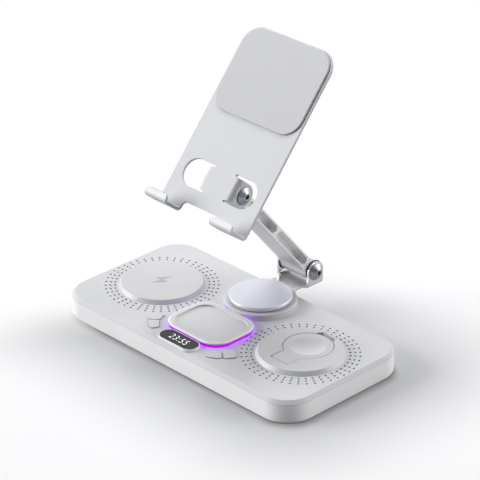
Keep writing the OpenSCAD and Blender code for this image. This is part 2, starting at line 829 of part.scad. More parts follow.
module friction_washers(out) {
    for (s = [-1, 1]) translate([s > 0 ? ear_inside / 2 - washer_thick : -ear_inside / 2, 0, 0])
        rotate([0, 90, 0]) ring(out, bore, washer_thick);
}

module at_lower() {
    translate([0, pivot_y, pivot_z]) children();
}

module at_upper() {
    translate([0, top_y, top_z]) rotate([plate_angle, 0, 0]) children();
}

module lower_axle() { color([0.55, 0.55, 0.57]) at_lower() axle(); }
module lower_screws() { color([0.6, 0.6, 0.64]) at_lower() cap_screws(); }
module lower_washers() { color([0.1, 0.1, 0.1]) at_lower() friction_washers(ear_radius + 0.5); }

// Side view of the arm along its length: two eyes joined by a bar that tapers away from them
module arm_side() {
    b = arm_bar / 2;
    t = b + arm_taper;
    for (d = [0, arm_length]) translate([d, 0]) circle(eye_radius);
    polygon([[0, t], [pocket_end, b], [arm_length - pocket_end, b], [arm_length, t],
             [arm_length, -t], [arm_length - pocket_end, -b], [pocket_end, -b], [0, -t]]);
}

module slot(a, b) {
    translate([a + pocket_half, -pocket_half]) square([b - a - 2 * pocket_half, 2 * pocket_half]);
    for (x = [a + pocket_half, b - pocket_half]) translate([x, 0]) circle(pocket_half);
}

// Milled bar with two long pockets in each side
module arm() {
    half = arm_width / 2;
    color([0.8, 0.8, 0.81]) at_lower() rotate([180 - arm_angle, 0, 0]) rotate([90, 0, 90])
        translate([0, 0, -half]) difference() {
            linear_extrude(arm_width) arm_side();
            for (z = [-1, arm_width - pocket_deep]) translate([0, 0, z])
                linear_extrude(pocket_deep + 1) {
                    slot(pocket_end, pocket_split - pocket_web / 2);
                    slot(pocket_split + pocket_web / 2, arm_length - pocket_end);
                }
            for (x = [0, arm_length]) translate([x, 0, -1]) cylinder(h = arm_width + 2, r = bore);
        }
}

module upper_axle() { color([0.55, 0.55, 0.57]) at_upper() axle(); }
module upper_screws() { color([0.6, 0.6, 0.64]) at_upper() cap_screws(); }
module upper_washers() { color([0.1, 0.1, 0.1]) at_upper() friction_washers(plate_back - lug_bend - 0.2); }

// Window left in the plate where a lug was folded back, on the right side
module window_shape() {
    translate([window_centre, 0]) circle(window_half);
    translate([fold_line, -window_half]) square([window_centre - fold_line, 2 * window_half]);
    for (y = [-1, 1]) translate([fold_line, y * (window_half - relief_wide / 2)]) {
        translate([-relief_deep + relief_wide / 2, 0]) circle(relief_wide / 2, $fn = 32);
        translate([-relief_deep + relief_wide / 2, -relief_wide / 2])
            square([relief_deep, relief_wide]);
    }
}

// Flat part of the plate seen from the front, down to where the hooks fold forward
module plate_face() {
    low = -plate_below + sheet + hook_bend + 0.05;
    half = plate_width / 2;
    difference() {
        union() {
            translate([-half, low]) square([plate_width, plate_above - plate_radius - low]);
            translate([plate_radius - half, low])
                square([plate_width - 2 * plate_radius, plate_above - low]);
            for (s = [-1, 1]) translate([s * (half - plate_radius), plate_above - plate_radius])
                circle(plate_radius);
        }
        for (s = [0, 1]) mirror([s, 0]) window_shape();
        hook_notch();
    }
}

// Cut-away between the two hooks
module hook_notch() {
    half = plate_width / 2 - hook_width;
    translate([-half, -plate_below - 1]) square([2 * half, plate_below + 1 - notch_top - notch_corner]);
    translate([notch_corner - half, -plate_below - 1])
        square([2 * (half - notch_corner), plate_below + 1 - notch_top]);
    for (s = [-1, 1]) translate([s * (half - notch_corner), -notch_top - notch_corner])
        circle(notch_corner);
}

// Block with two rounded lower corners, standing on its lower left corner
module cup(l, h, r1, r2) {
    translate([r1, 0]) square([l - r1 - r2, h]);
    translate([0, r1]) square([l / 2, h - r1]);
    translate([l / 2, r2]) square([l / 2, h - r2]);
    translate([r1, r1]) circle(r1);
    translate([l - r2, r2]) circle(r2);
}

// Section of a hook seen along X: forward is right and up is up
module hook_section() {
    long = hook_reach + sheet;
    difference() {
        cup(long, lip_height, hook_bend + sheet, lip_bend + sheet);
        translate([sheet, sheet])
            cup(long - 2 * sheet, lip_height, hook_bend, lip_bend);
        translate([-1, sheet + hook_bend + 0.15]) square([sheet + 2, lip_height]);
    }
}

// Bent strip with its lip's upper corners rounded off
module hook() {
    difference() {
        translate([0, -plate_below, plate_back]) rotate([90, 0, 90]) linear_extrude(hook_width)
            rotate(90) mirror([0, 1]) hook_section();
        for (s = [0, 1]) translate([s * hook_width, lip_height - plate_below, plate_back + hook_reach / 2])
            mirror([s, 0, 0]) linear_extrude(hook_reach) difference() {
                translate([-1, -lip_corner]) square([lip_corner + 1, lip_corner + 1]);
                translate([lip_corner, -lip_corner]) circle(lip_corner, $fn = 32);
            }
    }
}

// Lug folded back from the plate to hold the arm, on the right side
module lug() {
    bend_z = plate_back - lug_bend;
    translate([ear_out - sheet, 0, 0]) rotate([90, 0, 90]) linear_extrude(sheet) {
        circle(lug_radius);
        translate([-lug_radius, 0]) square([2 * lug_radius, bend_z]);
    }
    translate([fold_line, lug_radius, bend_z]) rotate([90, 0, 0]) linear_extrude(2 * lug_radius)
        intersection() {
            difference() {
                circle(lug_bend + sheet);
                circle(lug_bend);
            }
            square(lug_bend + sheet);
        }
}

module holder_plate() {
    color([0.85, 0.86, 0.88]) at_upper() difference() {
        union() {
            translate([0, 0, plate_back]) linear_extrude(sheet) plate_face();
            for (s = [0, 1]) mirror([s, 0, 0]) {
                lug();
                translate([plate_width / 2 - hook_width, 0, 0]) hook();
            }
        }
        translate([-ear_out - 1, 0, 0]) rotate([0, 90, 0]) cylinder(h = 2 * ear_out + 2, r = bore);
    }
}

module holder_pad() {
    l = plate_width - 2 * pad_margin;
    top = plate_above - 0.7;
    color([0.8, 0.81, 0.815]) at_upper() translate([0, top - pad_tall / 2, plate_offset])
        chamfered(l, pad_tall, plate_radius - 0.5, pad_thick, 0.4);
}

rubber_mat();
bottom_housing();
top_cover();
housing_screws();
ballast_plate();
main_board();
inlet_board();
usb_inlet();
phone_pad();
phone_coil();
phone_ferrite();
watch_pad();
watch_flap();
flap_back();
watch_coil();
flap_pin();
earbud_tray();
light_ring();
light_board();
earbud_coil();
earbud_ferrite();
display_bezel();
display_glass();
display_board();
key_left_back();
key_left_front();
key_right_back();
key_right_front();
key_switches();
turntable_collar();
swivel_bolt();
swivel_washer();
swivel_nut();
hinge_bracket();
turntable_cap();
lower_axle();
lower_screws();
lower_washers();
arm();
upper_axle();
upper_screws();
upper_washers();
holder_plate();
holder_pad();
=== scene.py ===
import json
import math

import bpy
from mathutils import Matrix, Vector


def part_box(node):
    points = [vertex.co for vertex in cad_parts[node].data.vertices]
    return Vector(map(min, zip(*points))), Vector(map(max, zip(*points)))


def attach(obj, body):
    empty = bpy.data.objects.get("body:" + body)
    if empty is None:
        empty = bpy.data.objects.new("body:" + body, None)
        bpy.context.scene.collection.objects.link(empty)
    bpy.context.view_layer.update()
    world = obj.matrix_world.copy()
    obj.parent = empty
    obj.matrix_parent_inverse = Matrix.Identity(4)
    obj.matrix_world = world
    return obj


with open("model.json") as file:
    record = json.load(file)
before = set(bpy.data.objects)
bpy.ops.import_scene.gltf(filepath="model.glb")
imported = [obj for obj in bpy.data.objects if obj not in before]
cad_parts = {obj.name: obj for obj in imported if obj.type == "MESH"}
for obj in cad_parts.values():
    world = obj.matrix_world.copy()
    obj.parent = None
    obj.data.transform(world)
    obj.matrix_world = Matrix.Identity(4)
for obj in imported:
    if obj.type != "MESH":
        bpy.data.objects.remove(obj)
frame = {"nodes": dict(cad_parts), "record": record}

bl_info = {
    "name": "Wireless charging station",
    "version": (1, 0, 0),
    "blender": (4, 5, 0),
    "location": "View3D > Sidebar > Station",
    "description": "Finishes, small parts and studio of a folding wireless charging station",
    "category": "Object",
}

MM = 0.001
SLOT_OF = {s["node"]: s["material_slot"] for s in frame["record"]["subparts"]}

# The camera fitted to the photo: its place, what it looks at, its lens and sensor in millimetres
CAMERA_PLACE = Vector((0.95353, -0.92364, 0.75670))
CAMERA_TARGET = Vector((-0.09075, 0.09760, 0.0))
CAMERA_LENS = 184.76
CAMERA_SENSOR = 36

# Directions that the two broad lamps shine from, and how wide they are
LEFT_SOURCE = Vector((-0.72, -0.65, 0.26))
RIGHT_SOURCE = Vector((0.68, 0.68, 0.28))
LAMP_WIDTH = math.radians(40)

# The lamp overhead, in metres: its place, what it shines at and its width
TOP_PLACE = Vector((-0.22, 0.2, 0.9))
TOP_AIM = Vector((0, 0, 0.015))
TOP_WIDTH = 0.35

# Violet strips that throw the light ring's glow on the cover, three of them round each corner
GLOW_COLOUR = (0.3, 0.06, 1.0)
GLOW_CORNER = 12.5 * MM
GLOW_INSET = 0.3 * MM
STRIP_HEIGHT = 1.2 * MM
STRIP_GAP = 0.1 * MM
STRIP_DIP = Vector((0, 0, 0.6))
STRIP_TURNS = (15, 45, 75)
STRIP_HALF_TURN = math.radians(14)

# Distances in metres over which the floor's painted shadow round the base grows lighter, and over
# which the floor fades to the backdrop
FLOOR_PAINTED_SHADOW = (-0.02, 0.11)
FLOOR_FADE = (0.025, 0.095)

# Direction in which the world is dark, and how it gets there
DARK_SIDE = (0.71, -0.70, 0.0)
DARK_RANGE = (-0.25, 0.8)

# How the CAD nodes are cleaned and rounded
WELD_WITHIN = 2e-6
FLAT_WITHIN = math.radians(0.4)
ROUND_ABOVE = math.radians(30)
ROUND_STEPS = 3

# Places where painted light and shade change one piece's colour
PLATE_LEAN = math.radians(40)
HOOK_HIGHLIGHT_DEPTH = 1.2 * MM
POCKET_HALF_HEIGHT = 3.3 * MM
ARM_HALF_WIDTH = 11.3 * MM
DISH_RADIUS = 12.0 * MM
DISH_BLEND = 1.2 * MM
DISH_LIGHT_SLANT = (-9 * MM, 12 * MM)
TRAY_CORNER = 13 * MM
TRAY_LIP = 1.3 * MM
TRAY_LIP_TALL = 0.5 * MM
TRAY_WALL = 0.4 * MM
TRAY_FOOT = 0.9 * MM
BASE_CORNER = 19 * MM

# Gap between a sign or digit and the surface under it
SEAT = 0.01 * MM

# Edge rounding of the CAD nodes in millimetres, none where a node isn't named
EDGES = {
    "bottom_housing": 0.35,
    "phone_pad": 0.3,
    "watch_pad": 0.22,
    "watch_flap": 0.22,
    "earbud_tray": 0.16,
    "light_ring": 0.15,
    "display_bezel": 0.15,
    "display_glass": 0.1,
    "key_left_back": 0.14,
    "key_left_front": 0.14,
    "key_right_back": 0.14,
    "key_right_front": 0.14,
    "turntable_collar": 0.15,
    "hinge_bracket": 0.3,
    "turntable_cap": 0.12,
    "lower_screws": 0.2,
    "upper_screws": 0.2,
    "arm": 0.35,
    "holder_plate": 0.3,
    "holder_pad": 0.3,
    "rubber_mat": 0.2,
    "usb_inlet": 0.06,
    "housing_screws": 0.12,
}


# Geometry helpers


def clear_selection():
    bpy.ops.object.select_all(action="DESELECT")


def smooth_group():
    """Geometry nodes that shade a mesh smooth and keep its edges sharp above an angle."""
    name = "Smooth up to angle"
    if name in bpy.data.node_groups:
        return bpy.data.node_groups[name]
    group = bpy.data.node_groups.new(name, "GeometryNodeTree")
    group.interface.new_socket("Geometry", in_out="INPUT", socket_type="NodeSocketGeometry")
    group.interface.new_socket("Angle", in_out="INPUT", socket_type="NodeSocketFloat")
    group.interface.new_socket("Geometry", in_out="OUTPUT", socket_type="NodeSocketGeometry")
    new, link = group.nodes.new, group.links.new
    start, end = new("NodeGroupInput"), new("NodeGroupOutput")
    faces, edges = new("GeometryNodeSetShadeSmooth"), new("GeometryNodeSetShadeSmooth")
    edges.domain = "EDGE"
    edges.inputs["Shade Smooth"].default_value = False
    angle, over = new("GeometryNodeInputMeshEdgeAngle"), new("FunctionNodeCompare")
    over.operation = "GREATER_THAN"
    link(start.outputs["Geometry"], faces.inputs["Geometry"])
    link(faces.outputs["Geometry"], edges.inputs["Geometry"])
    link(angle.outputs["Unsigned Angle"], over.inputs[0])
    link(start.outputs["Angle"], over.inputs[1])
    link(over.outputs[0], edges.inputs["Selection"])
    link(edges.outputs["Geometry"], end.inputs["Geometry"])
    return group


def round_edges(node, width, angle):
    """Welds a CAD node, rounds its sharp edges and shades it smooth."""
    weld = node.modifiers.new("Weld", "WELD")
    weld.merge_threshold = WELD_WITHIN
    flat = node.modifiers.new("Flat faces", "DECIMATE")
    flat.decimate_type = "DISSOLVE"
    flat.angle_limit = FLAT_WITHIN
    if width > 0:
        bevel = node.modifiers.new("Rounded edges", "BEVEL")
        bevel.width = width * MM
        bevel.segments = ROUND_STEPS
        bevel.limit_method = "ANGLE"
        bevel.angle_limit = ROUND_ABOVE
        bevel.miter_outer = "MITER_ARC"
        bevel.use_clamp_overlap = True
    shade = node.modifiers.new("Smooth", "NODES")
    shade.node_group = smooth_group()
    shade["Socket_1"] = angle
    normals = node.modifiers.new("Flat face normals", "WEIGHTED_NORMAL")
    normals.mode = "FACE_AREA"
    normals.weight = 50
    normals.keep_sharp = True


# Shader groups


def new_group(name, inputs, outputs):
    group = bpy.data.node_groups.new(name, "ShaderNodeTree")
    for label, kind, value in inputs:
        socket = group.interface.new_socket(label, in_out="INPUT", socket_type=kind)
        if value is not None:
            socket.default_value = value
    for label, kind in outputs:
        group.interface.new_socket(label, in_out="OUTPUT", socket_type=kind)
    return group, group.nodes.new("NodeGroupInput"), group.nodes.new("NodeGroupOutput")


def math_node(group, operation, a, b=None):
    node = group.nodes.new("ShaderNodeMath")
    node.operation = operation
    for socket, value in zip(node.inputs, (a, b)):
        if value is None:
            continue
        if isinstance(value, (int, float)):
            socket.default_value = value
        else:
            group.links.new(value, socket)
    return node.outputs[0]


def parts_of(tree, vector):
    """The X, Y and Z of a vector."""
    split = tree.nodes.new("ShaderNodeSeparateXYZ")
    tree.links.new(vector, split.inputs["Vector"])
    return split.outputs


def distance_beyond(tree, x, y, reach_x=0.0, reach_y=0.0):
    """How far a point lies outside a rectangle, or from the middle where it reaches nowhere."""
    squares = []
    for axis, reach in ((x, reach_x), (y, reach_y)):
        size = math_node(tree, "ABSOLUTE", axis)
        past = math_node(tree, "MAXIMUM", math_node(tree, "SUBTRACT", size, reach), 0.0)
        squares.append(math_node(tree, "MULTIPLY", past, past))
    return math_node(tree, "SQRT", math_node(tree, "ADD", *squares))


def ramp(tree, value, start, end, smooth=True):
    """0 at the start and 1 at the end."""
    node = tree.nodes.new("ShaderNodeMapRange")
    node.interpolation_type = "SMOOTHSTEP" if smooth else "LINEAR"
    node.inputs["From Min"].default_value = start
    node.inputs["From Max"].default_value = end
    tree.links.new(value, node.inputs["Value"])
    return node.outputs["Result"]


def colour_mix(tree, fac, first, second):
    """The first colour at 0 and the second at 1."""
    mix = tree.nodes.new("ShaderNodeMix")
    mix.data_type = "RGBA"
    mix.inputs["A"].default_value = (*first, 1)
    mix.inputs["B"].default_value = (*second, 1)
    tree.links.new(fac, mix.inputs["Factor"])
    return mix


def shader_mix(tree, fac, first, second):
    mix = tree.nodes.new("ShaderNodeMixShader")
    tree.links.new(fac, mix.inputs["Fac"])
    tree.links.new(first, mix.inputs[1])
    tree.links.new(second, mix.inputs[2])
    return mix.outputs["Shader"]


def seen_rays(tree):
    """1 for rays that show a surface itself, and 0 for the light it gives to others."""
    rays = tree.nodes.new("ShaderNodeLightPath").outputs
    direct = math_node(tree, "MAXIMUM", rays["Is Camera Ray"], rays["Is Glossy Ray"])
    return math_node(tree, "MAXIMUM", direct, rays["Is Transmission Ray"])


def grain_group():
    """Slow tone changes and a fine grain: Size is the grain's size in metres."""
    name = "Surface grain"
    if name in bpy.data.node_groups:
        return bpy.data.node_groups[name]
    group, start, end = new_group(
        name,
        [("Vector", "NodeSocketVector", None), ("Size", "NodeSocketFloat", 0.0003)],
        [("Tone", "NodeSocketFloat"), ("Height", "NodeSocketFloat")],
    )
    link = group.links.new
    fine, slow = group.nodes.new("ShaderNodeTexNoise"), group.nodes.new("ShaderNodeTexNoise")
    scale = math_node(group, "DIVIDE", 1.0, start.outputs["Size"])
    slower = math_node(group, "DIVIDE", scale, 40.0)
    for noise, size, detail in ((fine, scale, 2.0), (slow, slower, 3.0)):
        link(start.outputs["Vector"], noise.inputs["Vector"])
        link(size, noise.inputs["Scale"])
        noise.inputs["Detail"].default_value = detail
    link(slow.outputs["Fac"], end.inputs["Tone"])
    link(fine.outputs["Fac"], end.inputs["Height"])
    return group


def flake_group():
    """Tiny metal flakes in lacquer: each cell has its own brightness."""
    name = "Metal flakes"
    if name in bpy.data.node_groups:
        return bpy.data.node_groups[name]
    group, start, end = new_group(
        name,
        [("Vector", "NodeSocketVector", None), ("Size", "NodeSocketFloat", 0.0001)],
        [("Tone", "NodeSocketFloat")],
    )
    cells = group.nodes.new("ShaderNodeTexVoronoi")
    split = group.nodes.new("ShaderNodeSeparateColor")
    group.links.new(start.outputs["Vector"], cells.inputs["Vector"])
    group.links.new(math_node(group, "DIVIDE", 1.0, start.outputs["Size"]), cells.inputs["Scale"])
    group.links.new(cells.outputs["Color"], split.inputs["Color"])
    group.links.new(split.outputs[0], end.inputs["Tone"])
    return group


def ring_group():
    """Fine turned rings or wire turns about an upright axis."""
    name = "Turned rings"
    if name in bpy.data.node_groups:
        return bpy.data.node_groups[name]
    group, start, end = new_group(
        name,
        [("Vector", "NodeSocketVector", None), ("Pitch", "NodeSocketFloat", 0.0005)],
        [("Height", "NodeSocketFloat")],
    )
    place = parts_of(group, start.outputs["Vector"])
    distance = distance_beyond(group, place["X"], place["Y"])
    turns = math_node(group, "DIVIDE", distance, start.outputs["Pitch"])
    wave = math_node(group, "SINE", math_node(group, "MULTIPLY", turns, 2 * math.pi))
    half = math_node(group, "MULTIPLY_ADD", wave, 0.5)
    half.node.inputs[2].default_value = 0.5
    group.links.new(half, end.inputs["Height"])
    return group


# Material building blocks


class Finish:
    """A Principled material under construction."""

    def __init__(self, name):
        self.material = bpy.data.materials.new(name)
        self.material.use_nodes = True
        self.tree = self.material.node_tree
        self.shader = self.tree.nodes["Principled BSDF"]
        self.place = self.new("ShaderNodeTexCoord").outputs["Object"]

    def new(self, kind):
        return self.tree.nodes.new(kind)

    def link(self, a, b):
        self.tree.links.new(a, b)

    def set(self, **values):
        for name, value in values.items():
            self.shader.inputs[name.replace("_", " ")].default_value = value
        return self

    def grouped(self, group, vector=None, **values):
        node = self.new("ShaderNodeGroup")
        node.node_tree = group
        self.link(vector or self.place, node.inputs["Vector"])
        for name, value in values.items():
            node.inputs[name].default_value = value
        return node

    def about(self, centre):
        """Coordinates with their origin at a point."""
        moved = self.new("ShaderNodeMapping")
        moved.inputs["Location"].default_value = [-c for c in centre]
        self.link(self.place, moved.inputs["Vector"])
        return moved.outputs["Vector"]

    def colour(self, fac, dark, light):
        """The base colour, dark at 0 and light at 1."""
        self.base = colour_mix(self.tree, fac, dark, light)
        self.link(self.base.outputs["Result"], self.shader.inputs["Base Color"])

    def over(self, fac, colour):
        """A second colour where fac is 1, over the colour so far."""
        under = self.base
        self.colour(fac, colour, colour)
        self.link(under.outputs["Result"], self.base.inputs["A"])

    def shine(self, fac, dark, light):
        """Light of its own, dark at 0 and light at 1."""
        glow = colour_mix(self.tree, fac, dark, light)
        self.link(glow.outputs["Result"], self.shader.inputs["Emission Color"])
        self.set(Emission_Strength=1.0)

    def roughness(self, fac, low, high):
        spread = self.new("ShaderNodeMapRange")
        spread.inputs["To Min"].default_value = low
        spread.inputs["To Max"].default_value = high
        self.link(fac, spread.inputs["Value"])
        self.link(spread.outputs["Result"], self.shader.inputs["Roughness"])

    def bump(self, height, depth):
        node = self.new("ShaderNodeBump")
        node.inputs["Strength"].default_value = 1.0
        node.inputs["Distance"].default_value = depth
        self.link(height, node.inputs["Height"])
        self.link(node.outputs["Normal"], self.shader.inputs["Normal"])


def joint_place(name):
    joints = frame["record"]["behaviour"]["joints"]
    return Vector(next(joint["pos_m"] for joint in joints if joint["name"] == name))


def shade(colour, factor):
    return [min(1.0, c * factor) for c in colour]


def moulded(name, colour, low, high, size=0.00035, depth=0.000006):
    """Moulded plastic or rubber with a fine spark-eroded grain."""
    finish = Finish(name)
    grain = finish.grouped(grain_group(), Size=size)
    finish.colour(grain.outputs["Tone"], shade(colour, 0.965), shade(colour, 1.035))
    finish.roughness(grain.outputs["Tone"], low, high)
    finish.bump(grain.outputs["Height"], depth)
    return finish


def lacquered(name, colour, metallic, low, high, flake=0.00012):
    """Metal sheet under a fine metallic lacquer."""
    finish = Finish(name)
    flakes = finish.grouped(flake_group(), Size=flake)
    grain = finish.grouped(grain_group(), Size=0.0006)
    finish.colour(flakes.outputs["Tone"], shade(colour, 0.98), shade(colour, 1.02))
    finish.roughness(grain.outputs["Tone"], low, high)
    finish.bump(grain.outputs["Height"], 0.0000012)
    return finish.set(Metallic=metallic)


def white_plastic():
    return moulded("White moulded plastic", settings().housing_colour, 0.38, 0.48)


def grey_plastic():
    return moulded("Pale grey matte cover", settings().cover_colour, 0.5, 0.62)


def grey_gloss():
    return moulded("Pale grey satin plastic", settings().pad_colour, 0.34, 0.44, 0.0005, 0.000003)


def silver_paint():
    """The holder's lacquer, with a painted highlight that makes the front of its two hooks paler."""
    finish = lacquered("Silver lacquered metal", settings().holder_colour, 0.06, 0.44, 0.54)
    tree = finish.tree
    faces = Vector((0, -math.cos(PLATE_LEAN), math.sin(PLATE_LEAN)))
    place = parts_of(tree, finish.place)
    back = math_node(tree, "MULTIPLY", place["Y"], faces.y)
    up = math_node(tree, "MULTIPLY", place["Z"], faces.z)
    plate = bpy.data.objects["holder_plate"].data
    front = max(vertex.co.dot(faces) for vertex in plate.vertices)
    # Painted highlight: the front faces of the hooks are coloured paler than the plate
    painted_hook_highlight = math_node(tree, "GREATER_THAN", math_node(tree, "ADD", back, up), front - HOOK_HIGHLIGHT_DEPTH)
    finish.over(painted_hook_highlight, (0.67, 0.68, 0.70))
    return finish


def milled_metal():
    """Milled aluminium of the arm, with fine tool marks along it; painted light makes its sides pale
    and its pockets bright, and the faces between are left darker as painted shade.
    """
    finish = Finish("Milled aluminium")
    tree = finish.tree
    stretched = finish.new("ShaderNodeMapping")
    stretched.inputs["Scale"].default_value = (1.0, 0.25, 0.25)
    finish.link(finish.place, stretched.inputs["Vector"])
    grain = finish.grouped(grain_group(), stretched.outputs["Vector"], Size=0.00025)
    foot = joint_place("arm_fold")
    along = (joint_place("holder_tilt") - foot).normalized()
    place = parts_of(tree, finish.about(foot))
    rise = math_node(tree, "MULTIPLY", place["Z"], along.y)
    run = math_node(tree, "MULTIPLY", place["Y"], along.z)
    off = math_node(tree, "ABSOLUTE", math_node(tree, "SUBTRACT", rise, run))
    middle = math_node(tree, "LESS_THAN", off, POCKET_HALF_HEIGHT)
    deep = math_node(tree, "LESS_THAN", math_node(tree, "ABSOLUTE", place["X"]), ARM_HALF_WIDTH)
    side = math_node(tree, "SUBTRACT", 1.0, deep)
    painted_pocket_light = math_node(tree, "MULTIPLY", middle, deep)
    # Painted shade on the faces between the sides, painted light on the sides and brighter painted
    # light in the pockets
    finish.colour(grain.outputs["Height"], (0.42, 0.42, 0.43), (0.56, 0.56, 0.57))
    finish.over(side, (0.80, 0.80, 0.81))
    finish.over(painted_pocket_light, (0.93, 0.93, 0.935))
    finish.roughness(grain.outputs["Tone"], 0.3, 0.4)
    finish.bump(grain.outputs["Height"], 0.00001)
    return finish.set(Metallic=0.35)


def polished_metal():
    """Tumbled and polished sheet of the hinge bracket."""
    finish = Finish("Polished sheet")
    grain = finish.grouped(grain_group(), Size=0.0005)
    finish.colour(grain.outputs["Tone"], (0.6, 0.605, 0.62), (0.66, 0.665, 0.68))
    finish.roughness(grain.outputs["Tone"], 0.2, 0.28)
    finish.bump(grain.outputs["Height"], 0.000002)
    return finish.set(Metallic=0.6)


def puck_plastic():
    """The flap's satin plastic, with its dish painted darker at the back as shade and lighter in
    front as painted light.
    """
    finish = grey_gloss()
    finish.material.name = "Watch puck"
    tree = finish.tree
    low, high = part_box("flap_back")
    place = parts_of(tree, finish.about((low + high) / 2))
    distance = distance_beyond(tree, place["X"], place["Y"])
    dish = ramp(tree, distance, DISH_RADIUS, DISH_RADIUS - DISH_BLEND)
    # Painted shade over the dish, then painted light towards its front
    finish.over(dish, (0.56, 0.565, 0.58))
    forward = math_node(tree, "SUBTRACT", place["X"], place["Y"])
    painted_dish_light = ramp(tree, forward, *DISH_LIGHT_SLANT, smooth=False)
    finish.over(math_node(tree, "MULTIPLY", painted_dish_light, dish), (0.76, 0.765, 0.78))
    return finish


def tray_plastic():
    """The tray's satin plastic: a painted highlight on its lip, painted shade on its wall, and the
    ring's violet light painted as a glow at its foot.
    """
    finish = moulded("Earbud tray", shade(settings().pad_colour, 1.13), 0.34, 0.44, 0.0005, 0.000003)
    tree = finish.tree
    low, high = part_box("earbud_tray")
    middle, half = (low + high) / 2, (high - low) / 2
    tall = high.z - low.z
    place = parts_of(tree, finish.about(Vector((middle.x, middle.y, low.z))))
    reach_x, reach_y = half.x - TRAY_CORNER, half.y - TRAY_CORNER
    distance = distance_beyond(tree, place["X"], place["Y"], reach_x, reach_y)
    painted_lip_highlight = math_node(tree, "GREATER_THAN", distance, TRAY_CORNER - TRAY_LIP)
    outside = math_node(tree, "GREATER_THAN", distance, TRAY_CORNER - TRAY_WALL)
    painted_wall_shade_height = math_node(tree, "LESS_THAN", place["Z"], tall - TRAY_LIP_TALL)
    foot = math_node(tree, "LESS_THAN", place["Z"], tall - TRAY_FOOT)
    lit = math_node(tree, "MULTIPLY", foot, outside)
    # Painted highlight on the lip, painted shade on the wall below it, and a painted violet glow at
    # the wall's foot
    finish.over(painted_lip_highlight, (0.86, 0.865, 0.87))
    finish.over(math_node(tree, "MULTIPLY", painted_wall_shade_height, outside), (0.42, 0.46, 0.45))
    finish.over(lit, (0.05, 0.0, 0.07))
    finish.shine(lit, (0, 0, 0), settings().light_colour)
    return finish


def lavender_paint():
    return lacquered("Lavender silver cap", settings().cap_colour, 0.25, 0.26, 0.34)


def screw_chrome():
    finish = moulded("Dark polished chrome", (0.32, 0.325, 0.36), 0.34, 0.42, 0.0004, 0.000001)
    return finish.set(Metallic=1.0)


def steel():
    finish = moulded("Zinc plated steel", (0.5, 0.51, 0.53), 0.28, 0.42, 0.0002, 0.000004)
    return finish.set(Metallic=1.0)


def nylon_black():
    return moulded("Black nylon", (0.025, 0.025, 0.027), 0.45, 0.6)


def rubber_dark():
    return moulded("Dark anti-slip rubber", (0.05, 0.05, 0.055), 0.7, 0.85, 0.0006, 0.00003)


def silicone():
    return moulded("Grey silicone pad", (0.515, 0.52, 0.54), 0.56, 0.68, 0.00025, 0.000003)


def board_green():
    return moulded("Green solder mask", (0.02, 0.13, 0.06), 0.3, 0.45, 0.0008, 0.00002)


def ferrite():
    return moulded("Dark ferrite", (0.05, 0.05, 0.055), 0.5, 0.7, 0.0008, 0.00001)


def copper(coil="phone_coil"):
    """Wound copper whose turns run about the coil's middle, painted darker between the turns as
    shade.
    """
    finish = Finish("Enamelled copper turns")
    low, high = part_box(coil)
    rings = finish.grouped(ring_group(), finish.about((low + high) / 2), Pitch=0.0007)
    # Painted shade: darker in the grooves between the turns
    finish.colour(rings.outputs["Height"], (0.22, 0.08, 0.03), (0.72, 0.33, 0.16))
    finish.roughness(rings.outputs["Height"], 0.45, 0.28)
    finish.bump(rings.outputs["Height"], 0.0002)
    return finish.set(Metallic=1.0)


def glass_dark():
    finish = moulded("Smoked display glass", (0.045, 0.045, 0.048), 0.1, 0.16, 0.002, 0.000001)
    return finish.set(Specular_IOR_Level=0.15)


def light_violet():
    finish = moulded("Lit violet ring", (0.02, 0.0, 0.03), 0.5, 0.6)
    grain = finish.grouped(grain_group(), Size=0.002)
    light = settings().light_colour
    finish.shine(grain.outputs["Tone"], shade(light, 0.94), shade(light, 1.06))
    return finish.set(Specular_IOR_Level=0.1)


MAKERS = {
    "white_plastic": white_plastic,
    "grey_plastic": grey_plastic,
    "grey_gloss": grey_gloss,
    "silver_paint": silver_paint,
    "lavender_paint": lavender_paint,
    "screw_chrome": screw_chrome,
    "steel": steel,
    "nylon_black": nylon_black,
    "rubber_dark": rubber_dark,
    "silicone": silicone,
    "board_green": board_green,
    "copper": copper,
    "ferrite": ferrite,
    "glass_dark": glass_dark,
    "light_violet": light_violet,
}


# Nodes whose finish differs from the rest of their material slot
OWN_FINISH = {
    "arm": milled_metal,
    "hinge_bracket": polished_metal,
    "watch_flap": puck_plastic,
    "earbud_tray": tray_plastic,
    "phone_coil": lambda: copper("phone_coil"),
    "watch_coil": lambda: copper("watch_coil"),
    "earbud_coil": lambda: copper("earbud_coil"),
}


def material_for(node):
    slot = SLOT_OF[node]
    label = "station " + (node if node in OWN_FINISH else slot)
    made = bpy.data.materials.get(label)
    if made is None:
        made = OWN_FINISH.get(node, MAKERS[slot])().material
        made.name = label
    return made


def dress(obj, material):
    obj.data.materials.clear()
    obj.data.materials.append(material)


# Settings


def length_setting(name, description, value):
    return bpy.props.FloatProperty(
        name=name, description=description, default=value, min=0.0, subtype="DISTANCE", unit="LENGTH"
    )


def colour_setting(name, description, value):
    return bpy.props.FloatVectorProperty(
        name=name, description=description, default=value, size=3, min=0.0, max=1.0, subtype="COLOR"
    )


def level_setting(name, description, value):
    return bpy.props.FloatProperty(
        name=name, description=description, default=value, min=0.0, subtype="FACTOR", soft_max=10.0
    )


